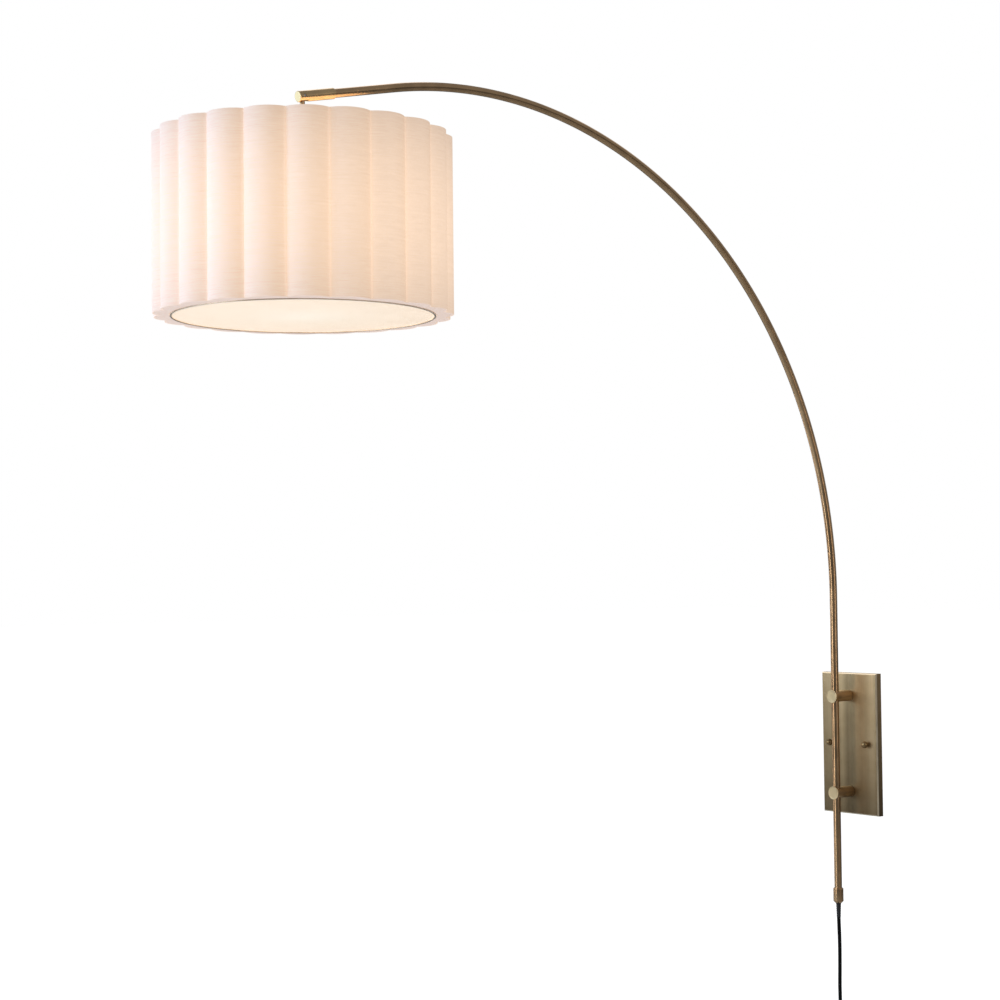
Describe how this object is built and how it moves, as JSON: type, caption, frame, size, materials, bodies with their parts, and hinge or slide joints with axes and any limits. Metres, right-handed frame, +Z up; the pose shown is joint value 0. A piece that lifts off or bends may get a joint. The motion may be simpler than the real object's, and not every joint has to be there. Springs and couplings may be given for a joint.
{
  "type": "swing arm wall sconce",
  "caption": "Plug-in wall sconce: a long arched brass tube swings in two posts on a rectangular plate and carries a scalloped linen drum shade with a diffuser.",
  "frame": {"origin": "centre of the wall bracket's back face, on the wall", "axes": "+Y into the wall, +Z up, the arm reaches out along -Y"},
  "size_m": [0.411, 1.3268, 1.7086],
  "materials": {
    "plate_brass": "aged satin brass, vertical brushing",
    "arm_brass": "aged satin brass",
    "fitting_brass": "aged satin brass, turned",
    "zinc_steel": "zinc plated",
    "linen": "fine slub linen on a stiff backing",
    "opal_acrylic": "opal, satin",
    "black_plastic": "fine grain",
    "black_sheath": "smooth flexible sheath",
    "tie_fabric": "woven hook and loop strap",
    "bulb_glass": "frosted",
    "bulb_metal": "rolled thread",
    "blade_metal": "nickel plated"
  },
  "bodies": {
    "base": {"backplate": "plate_brass", "wall_bracket": "zinc_steel", "stud_left": "zinc_steel", "stud_right": "zinc_steel", "ball_nut_left": "fitting_brass", "ball_nut_right": "fitting_brass", "post_upper": "fitting_brass", "post_lower": "fitting_brass", "post_cap_upper": "fitting_brass", "post_cap_lower": "fitting_brass", "post_screw_upper": "zinc_steel", "post_screw_lower": "zinc_steel", "friction_screw_upper": "zinc_steel", "friction_screw_lower": "zinc_steel"},
    "arm": {"arm_tube": "arm_brass", "lower_ferrule": "fitting_brass", "cord_relief": "black_plastic", "upper_sleeve": "fitting_brass", "pivot_screw_left": "zinc_steel", "pivot_screw_right": "zinc_steel", "arm_wire": "black_sheath", "cord_hanging": "black_sheath", "switch_front": "black_plastic", "switch_back": "black_plastic", "switch_screw": "zinc_steel", "cord_below_switch": "black_sheath", "cord_hank": "black_sheath", "hank_tie": "tie_fabric", "cord_tail": "black_sheath", "plug_relief": "black_plastic", "plug_body": "black_plastic", "plug_blade_0": "blade_metal", "plug_blade_1": "blade_metal"},
    "shade": {"swivel_stem": "fitting_brass", "stem_wire": "black_sheath", "stem_washer": "zinc_steel", "lock_nut": "zinc_steel", "cup_nut": "zinc_steel", "shade_spider": "zinc_steel", "socket_cup": "fitting_brass", "lamp_holder": "black_plastic", "bulb_cap": "bulb_metal", "bulb_glass": "bulb_glass", "shade_wall": "linen", "bottom_flange": "linen", "top_wire": "zinc_steel", "bottom_wire": "zinc_steel", "diffuser_rim": "fitting_brass", "diffuser": "opal_acrylic"},
    "rocker": {"switch_rocker": "black_plastic"}
  },
  "joints": [
    {"name": "arm_swing", "type": "hinge", "parent": "base", "child": "arm", "pos_m": [0, -0.0475, 0], "axis": [0, 0, 1], "range_deg": [-80, 80]},
    {"name": "shade_tilt", "type": "hinge", "parent": "arm", "child": "shade", "pos_m": [0, -1.1229, 0.9539], "axis": [1, 0, 0], "range_deg": [-6, 15]},
    {"name": "switch_rock", "type": "hinge", "parent": "arm", "child": "rocker", "pos_m": [0, -0.0543, -0.48], "axis": [1, 0, 0], "range_deg": [-16, 0]}
  ]
}
